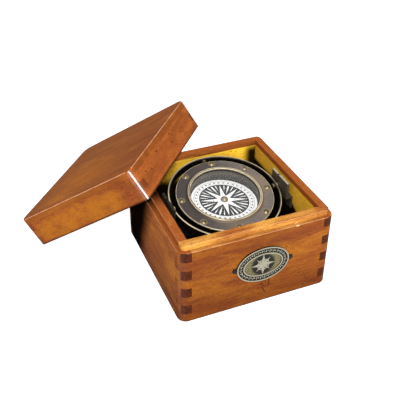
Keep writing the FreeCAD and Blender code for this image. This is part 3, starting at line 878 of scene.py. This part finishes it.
def lining_finish():
    """The turned wall above the card: fine streaks round the bowl, painted light at the left and
    painted shade downwards.
    """
    metal = bpy.context.scene.compass_metal
    b = Builder("bowl lining")
    _, height, _ = b.about_axis(GIMBAL_CENTRE, BOWL_AXIS)
    x, y, _ = b.split(b.point())
    lathe = b.node("ShaderNodeCombineXYZ", None, {"X": x * 22, "Y": y * 22, "Z": height * 1.7})
    streaks = b.noise(lathe, 1, 4, 0.7)
    base = metal.lining
    colour = b.mix(streaks.smooth(0.3, 0.7), scaled(base, 0.6), base)
    # painted light: the left of the lining is made lighter
    colour = b.tint((x / MM).smooth(-5, -30), colour, (1.9, 1.8, 1.5))
    # painted shade: darker downwards towards the card
    colour = b.mix(height.smooth(1.0, -3.5) * 0.75, colour, scaled(base, 0.25))
    return metal_finish(b, colour, 0.62 + streaks * 0.08, streaks, 0.02, 0.3)


def brass_finish(name, centre, axis, slot_floor=None):
    """Aged brass, with the slots of screw heads darkened below a height as painted shade."""
    metal = bpy.context.scene.compass_metal
    b = Builder(name)
    _, height, facing = b.about_axis(centre, axis)
    colour, mottle, fine = patina(b, metal.brass, 0.5)
    if slot_floor is not None:
        top = facing.smooth(0.97, 0.99)
        colour = b.mix(top * height.smooth(slot_floor + 0.3, slot_floor + 0.4), colour,
                       metal.bronze)
        # painted shade: the floors and walls of the slots are blackened
        floor = height.smooth(slot_floor + 0.12, slot_floor + 0.06) * top \
            * height.smooth(slot_floor - 0.4, slot_floor - 0.3)
        wall = facing.smooth(0.35, 0.25) * height.smooth(slot_floor - 0.1, slot_floor)
        colour = b.mix(floor.most(wall) * 0.9, colour, (0.01, 0.009, 0.007))
    return metal_finish(b, colour, 0.34 + mottle * 0.2, fine + mottle)


def plain_finish(name, colour, roughness, grain, metallic=0.0, spread=0.25):
    """One colour broken up a little, for pieces that hardly show."""
    b = Builder(name)
    speckle = b.scatter(grain, 3)
    shade = b.mix(speckle.smooth(0.3, 0.7), scaled(colour, 1 - spread), colour)
    return metal_finish(b, shade, roughness + speckle * 0.1, speckle, 0.2, metallic)


def glass_finish():
    """Nearly clear, with faint smears."""
    b = Builder("flat glass")
    edge = b.node("ShaderNodeLayerWeight", None, {"Blend": 0.3}, "Fresnel")
    smear = b.scatter(60, 2).smooth(0.5, 0.8)
    alpha = edge * 0.05 + smear * 0.01 + 0.008
    return b.finish({"Alpha": alpha}, {"Base Color": (0.6, 0.62, 0.62, 1), "Roughness": 0.03,
                                       "Specular IOR Level": 0.5})


# ---- operators ----
class COMPASS_OT_box(bpy.types.Operator):
    """Varnishes the box's boards and lines its floor"""
    bl_idname = "compass.box"
    bl_label = "Finish the box"

    def execute(self, context):
        wood = context.scene.compass_wood
        timber = box_timber()
        tones = (wood.outer_dark, wood.outer, wood.outer_light)
        boards = (("front_wall", 0, 3.0, 0.25, box_paint(front_shade, gold=0.95)),
                  ("back_wall", 0, 17.0, 0.25, box_paint(back_shade)),
                  ("left_wall", 1, 41.0, 0.9, box_paint(left_shade)),
                  ("right_wall", 1, 58.0, 0.9, box_paint(right_shade, 42.0, amber=0.35)))
        for node, along, seed, ends, paint in boards:
            dress(node, wood_finish(node + " wood", timber, along, tones, seed, ends, paint))
        dress("floor_board", wood_finish("floor wood", timber, 0, tones, 77.0))
        dress("floor_felt", plain_finish("black felt", (0.006, 0.0062, 0.008), 0.9, 3000,
                                         spread=0.6))
        return {"FINISHED"}


class COMPASS_OT_lid(bpy.types.Operator):
    """Varnishes the lid's panel and boards"""
    bl_idname = "compass.lid"
    bl_label = "Finish the lid"

    def execute(self, context):
        wood = context.scene.compass_wood
        timber = lid_timber()

        def shades(colour, dark=0.72):
            """The dark, the middle and the light of a colour's grain."""
            return scaled(colour, dark), colour, scaled(colour, 1.3, 1.4, 1.2)

        dress("lid_panel", wood_finish("lid top wood", timber, 0, shades(wood.lid_top, 0.85),
                                       5.0, 0.2, lid_top_paint, 1.0))
        boards = (("lid_front", 0, 23.0, wood.lid_side, lid_paint(worn=True)),
                  ("lid_back", 0, 31.0, wood.lid_side, lid_paint()),
                  ("lid_left", 1, 47.0, wood.lid_side, lid_paint()),
                  # the right side takes the lighter copy of the sides' colour, as painted light
                  ("lid_right", 1, 63.0, wood.lid_flank, lid_paint(FLANK_WORMHOLES)))
        for node, along, seed, tone, paint in boards:
            dress(node, wood_finish(node + " wood", timber, along, shades(tone), seed,
                                    0.3, paint, 1.0))
        return {"FINISHED"}


class COMPASS_OT_metal(bpy.types.Operator):
    """Finishes the gimbal, the bowl and what they carry"""
    bl_idname = "compass.metal"
    bl_label = "Finish the metalwork"

    def execute(self, context):
        metal = context.scene.compass_metal
        dress("gimbal_ring", ring_finish())
        dress("bezel", bezel_finish())
        dress("bowl_shell", shell_finish())
        dress("verge_ring", lining_finish())
        # painted shade: the left bracket is darkened nearly black; the right one is lighter, with
        # painted highlights on its top edges
        dress("left_bracket", bracket_finish("left bracket bronze", 0.06, 0.0))
        dress("right_bracket", bracket_finish("right bracket bronze", 0.8, 0.55))
        screw_brass = brass_finish("bezel screw brass", GIMBAL_CENTRE, BOWL_AXIS, SLOT_FLOOR)
        dress("bezel_screws", screw_brass)
        dress("bracket_screws", brass_finish("bracket screw brass", Vector(), ROLL_AXIS))
        pin = brass_finish("pivot brass", GIMBAL_CENTRE, PITCH_AXIS)
        for node in ("bowl_pivot_screws", "pivot_locknuts", "ring_pins", "ring_bushes",
                     "pivot_stem", "stem_nut"):
            dress(node, pin)
        dress("ballast_weight", plain_finish("ballast", (0.12, 0.12, 0.125), 0.6, 500, 1.0))
        dress("pivot_needle", plain_finish("needle steel", (0.55, 0.55, 0.57), 0.25, 900, 1.0))
        dress("glass_gasket", plain_finish("gasket rubber", (0.01, 0.01, 0.01), 0.7, 900))

        seat = flat_ring(*SEAT, FLAT_HEIGHT - 0.05, FLAT_HEIGHT + 0.15, 32)
        seats = repeated(seat, screw_brass, metal.bezel_screws, SCREW_CIRCLE, SCREW_CIRCLE)
        seats.transform(Matrix.Translation(GIMBAL_CENTRE)
                        @ Matrix((ROLL_AXIS, PITCH_AXIS, BOWL_AXIS)).transposed().to_4x4()
                        @ Matrix.Rotation(metal.screw_phase, 4, "Z") @ Matrix.Scale(MM, 4))
        add_piece("screw_seats", seats, screw_brass, "bowl")
        return {"FINISHED"}


class COMPASS_OT_glass(bpy.types.Operator):
    """Makes the glass clear"""
    bl_idname = "compass.glass"
    bl_label = "Finish the glass"

    def execute(self, context):
        dress("glass", glass_finish())
        return {"FINISHED"}


class COMPASS_OT_badge(bpy.types.Operator):
    """Finishes the badge and sets its ring of marks and its star"""
    bl_idname = "compass.badge"
    bl_label = "Make the badge"

    def execute(self, context):
        badge = context.scene.compass_badge
        metal = context.scene.compass_metal
        low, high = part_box("badge_plate")
        centre = (low + high) / 2
        face = -low.y / MM - BADGE_RIM
        radius = badge.star_radius / MM
        b = Builder("badge metal")
        x, y, z = b.split(b.mapped(b.point(), (centre.x, 0, centre.z), (0, 0, 0), (MM, MM, MM)))
        raised = (y * -1).smooth(face + BADGE_RIM * 0.35, face + BADGE_RIM * 0.8)
        field_a, field_b = BADGE_FIELD
        oval = (x / field_a) * (x / field_a) + (z / field_b) * (z / field_b)
        from_star = (x * x + z * z).maths("SQRT").smooth(radius * 0.86, radius * 1.12)
        mottle = b.scatter(500, 3)
        ground = b.mix(oval.smooth(0.86, 0.78) * from_star, metal.badge_ground,
                       metal.badge_field)
        ground = b.mix(mottle.smooth(0.35, 0.7) * 0.35, ground, scaled(metal.badge_ground, 0.5))
        colour = b.mix(raised, ground, metal.pewter)
        dress("badge_plate", metal_finish(b, colour, 0.4 + mottle * 0.2, mottle, metallic=0.8))
        dress("badge_nails", plain_finish("nail iron", metal.badge_ground, 0.4, 900, 0.8))

        raised_metal = plain_finish("badge raised metal", metal.pewter, 0.34, 900, 0.8, 0.1)
        band_a, band_b = BADGE_BAND
        bead = plate([polar(0.62, math.pi * k / 4) for k in range(8)], 0, 0.1, 0.3)
        marks = joined_meshes("badge_marks", [
            repeated(bar(0.3, 1.25, 0, 0.4), raised_metal, badge.marks, band_a, band_b, 2, 0),
            repeated(bead, raised_metal, badge.marks, band_a, band_b, 2, 1)])
        self.stand(marks, centre, face)
        add_piece("badge_marks", marks, raised_metal, "box")

        parts = [flat_ring(radius * 0.44, radius * 0.52, 0, 0.3, 64)]
        for k in range(8):
            angle = math.pi * k / 4 + math.pi / 2
            reach = radius * (1.0, 0.82)[k % 2]
            width = radius * (0.15, 0.11)[k % 2]
            outline = leaf([(0, 0), (reach * 0.34, width), (reach, 0)], angle)
            parts.append(plate(outline, 0, 0.15, 0.35))
        star = clean_mesh("badge_star", parts)
        self.stand(star, centre, face)
        add_piece("badge_star", star, raised_metal, "box")
        return {"FINISHED"}

    @staticmethod
    def stand(mesh, centre, face):
        """Stands flat work, drawn in millimetres, upright on the badge's face."""
        upright = Matrix.Rotation(math.pi / 2, 4, "X")
        place = Matrix.Translation((centre.x, -face * MM, centre.z))
        mesh.transform(place @ upright @ Matrix.Scale(MM, 4))


class COMPASS_OT_card(bpy.types.Operator):
    """Prints the card with its rose and degree scale"""
    bl_idname = "compass.card"
    bl_label = "Make the card"

    def execute(self, context):
        card = context.scene.compass_card
        white = plain_finish("card white", card.white, 0.55, 700, spread=0.04)
        ink = plain_finish("card ink", card.ink, 0.6, 700, spread=0.12)
        grey = plain_finish("scale ink", card.scale_ink, 0.6, 700, spread=0.12)
        dress("card_disc", white)
        dress("card_cap", brass_finish("cap brass", CARD_CENTRE, CARD_AXIS))
        dress("cap_jewel", plain_finish("jewel", (0.3, 0.02, 0.04), 0.1, 500))
        dress("card_magnets", plain_finish("magnet steel", (0.2, 0.2, 0.22), 0.4, 600, 1.0))

        sheet = CARD_THICKNESS / 2
        over, high = sheet + PRINT, sheet + 2 * PRINT
        rose, core = card.rose_radius / MM, card.centre_radius / MM
        inner, outer = card.scale_inner / MM, card.scale_outer / MM
        middle = (inner + outer) / 2
        self.place("card_rose", clean_mesh("card_rose", [flat_ring(core, rose, sheet, over)]),
                   ink, card)

        light = []
        spacing = 2 * math.pi / POINTS
        for k in range(POINTS):
            angle = math.pi / 2 + spacing * k
            shapes = [([(core - 1, 2.2), (core + 3.4, 1.5), (rose - 0.9, 0)], angle),
                      ([(core + 2.6, 0), (rose - 4.4, 0.75), (rose - 1.5, 0.6),
                        (rose - 0.8, 0)], angle + spacing / 2)]
            for side in (-1, 1):
                shapes.append(([(rose - 8.6, 0), (rose - 3.4, 0.42), (rose - 1.2, 0.34)],
                               angle + side * spacing / 4))
            light += [plate(leaf(points, along), over, high) for points, along in shapes]
        self.place("card_points", clean_mesh("card_points", light), white, card)

        ticks = joined_meshes("card_ticks", [
            repeated(bar(0.85, 0.6, sheet, over), grey, DASHES, middle, middle, 2, 0),
            repeated(bar(0.1, 0.35, sheet, over), grey, TICKS, outer, outer),
            clean_mesh("scale_bounds", [flat_ring(inner - 0.1, inner + 0.1, sheet, over),
                                        flat_ring(outer + 0.35, outer + 0.5, sheet, over)])])
        self.place("card_ticks", ticks, grey, card)

        letters = [self.figure(str(degrees), 1.5, middle, math.radians(degrees), sheet)
                   for degrees in range(0, 360, FIGURE_STEP)]
        for k, text in enumerate(LETTERS):
            letters.append(self.figure(text, 2.5 if len(text) == 1 else 1.7, core + 3.1,
                                       2 * math.pi * k / len(LETTERS), high))
        self.place("card_letters", joined_meshes("card_letters", letters), grey, card)
        return {"FINISHED"}

    @staticmethod
    def figure(text, size, radius, bearing, height):
        """A figure that stands on a circle with its head outwards, at a bearing clockwise."""
        mesh = text_mesh(text, size, PRINT / 2)
        x, y = polar(radius, math.pi / 2 - bearing)
        mesh.transform(Matrix.Translation((x, y, height + PRINT / 2))
                       @ Matrix.Rotation(-bearing, 4, "Z"))
        return mesh

    @staticmethod
    def place(name, mesh, material, card):
        """Lays print, drawn in millimetres about the card's middle, on the card."""
        lean = Vector((0, 0, 1)).rotation_difference(CARD_AXIS).to_matrix().to_4x4()
        mesh.transform(Matrix.Translation(CARD_CENTRE) @ lean
                       @ Matrix.Rotation(card.heading, 4, "Z") @ Matrix.Scale(MM, 4))
        mesh.materials.clear()
        add_piece(name, mesh, material, "card")


class COMPASS_OT_stage(bpy.types.Operator):
    """Sets the floor, the soft light and the camera"""
    bl_idname = "compass.stage"
    bl_label = "Set the stage"

    def execute(self, context):
        stage = context.scene.compass_stage
        scene = context.scene
        scene.view_settings.view_transform = "Standard"
        sheet = bmesh.new()
        bmesh.ops.create_grid(sheet, x_segments=1, y_segments=1, size=FLOOR_HALF * MM)
        mesh = plain_mesh("floor", sheet)
        mesh.transform(Matrix.Translation((0, 0, -FLOOR_DROP * MM)))
        b = Builder("floor")
        mesh.materials.append(b.finish({}, {"Base Color": (*stage.floor, 1), "Roughness": 0.9,
                                            "Specular IOR Level": 0.1,
                                            "Emission Color": (1, 1, 1, 1),
                                            "Emission Strength": stage.floor_glow}))
        floor = bpy.data.objects.new("floor", mesh)
        scene.collection.objects.link(floor)

        world = bpy.data.worlds.new("surroundings")
        scene.world = world
        world.use_nodes = True
        sky = world.node_tree.nodes["Background"]
        sky.inputs["Color"].default_value = (1, 1, 1, 1)
        w = Nodes(world.node_tree)
        upward = w.split(w.node("ShaderNodeTexCoord", out="Generated"))[2]
        fall = w.node("ShaderNodeMapRange", None,
                      {"Value": upward, "From Min": HORIZON[0], "From Max": HORIZON[1],
                       "To Min": 1, "To Max": stage.sky})
        w.tree.links.new(fall.socket, sky.inputs["Strength"])

        middle = (0, 0, 0.05)
        self.area("overhead", (0.2, 0.4, 3.0), (0.2, 0.4, 0), 3.2, stage.overhead_power)
        self.area("key", (-0.42, -0.95, 1.15), middle, 0.6, stage.key_power)
        self.area("front", (0.18, -1.25, 0.36), middle, 0.5, stage.front_power)

        camera = bpy.data.objects.new("camera", bpy.data.cameras.new("camera"))
        scene.collection.objects.link(camera)
        camera.data.lens = stage.lens
        camera.data.sensor_width = SENSOR_WIDTH
        camera.data.shift_y = CAMERA_SHIFT
        camera.data.clip_start = 0.01
        turn = Matrix((CAMERA_RIGHT, -CAMERA_DOWN, -CAMERA_FORWARD)).transposed().to_4x4()
        camera.matrix_world = Matrix.Translation(CAMERA_PLACE) @ turn
        scene.camera = camera
        return {"FINISHED"}

    @staticmethod
    def area(name, place, target, side, power):
        """A soft square light that faces a target."""
        light = bpy.data.lights.new(name, "AREA")
        light.shape = "RECTANGLE"
        light.size = light.size_y = side
        light.energy = power
        lamp = bpy.data.objects.new(name, light)
        bpy.context.scene.collection.objects.link(lamp)
        lamp.location = place
        lamp.rotation_euler = (Vector(target) - Vector(place)).to_track_quat("-Z", "Y").to_euler()


class COMPASS_PT_panel(bpy.types.Panel):
    """Lists the settings and the steps that make the compass"""
    bl_idname = "COMPASS_PT_panel"
    bl_label = "Compass"
    bl_space_type = "VIEW_3D"
    bl_region_type = "UI"
    bl_category = "Compass"

    def draw(self, context):
        layout = self.layout
        for group in GROUPS:
            settings = getattr(context.scene, group)
            box = layout.box()
            box.label(text=group.replace("_", " "))
            for name in type(settings).__annotations__:
                box.prop(settings, name)
        for step in STEPS:
            layout.operator(step.bl_idname)


GROUPS = {
    "compass_wood": CompassWoodSettings,
    "compass_metal": CompassMetalSettings,
    "compass_card": CompassCardSettings,
    "compass_badge": CompassBadgeSettings,
    "compass_stage": CompassStageSettings,
}
STEPS = (COMPASS_OT_box, COMPASS_OT_lid, COMPASS_OT_metal, COMPASS_OT_glass,
         COMPASS_OT_badge, COMPASS_OT_card, COMPASS_OT_stage)


def register():
    for group, settings in GROUPS.items():
        bpy.utils.register_class(settings)
        setattr(bpy.types.Scene, group, PointerProperty(type=settings))
    for step in STEPS:
        bpy.utils.register_class(step)
    bpy.utils.register_class(COMPASS_PT_panel)


def unregister():
    bpy.utils.unregister_class(COMPASS_PT_panel)
    for step in reversed(STEPS):
        bpy.utils.unregister_class(step)
    for group, settings in reversed(GROUPS.items()):
        delattr(bpy.types.Scene, group)
        bpy.utils.unregister_class(settings)


def main():
    register()
    bpy.ops.compass.box()
    bpy.ops.compass.lid()
    bpy.ops.compass.metal()
    bpy.ops.compass.glass()
    bpy.ops.compass.badge()
    bpy.ops.compass.card()
    bpy.ops.compass.stage()


if __name__ == "__main__":
    main()
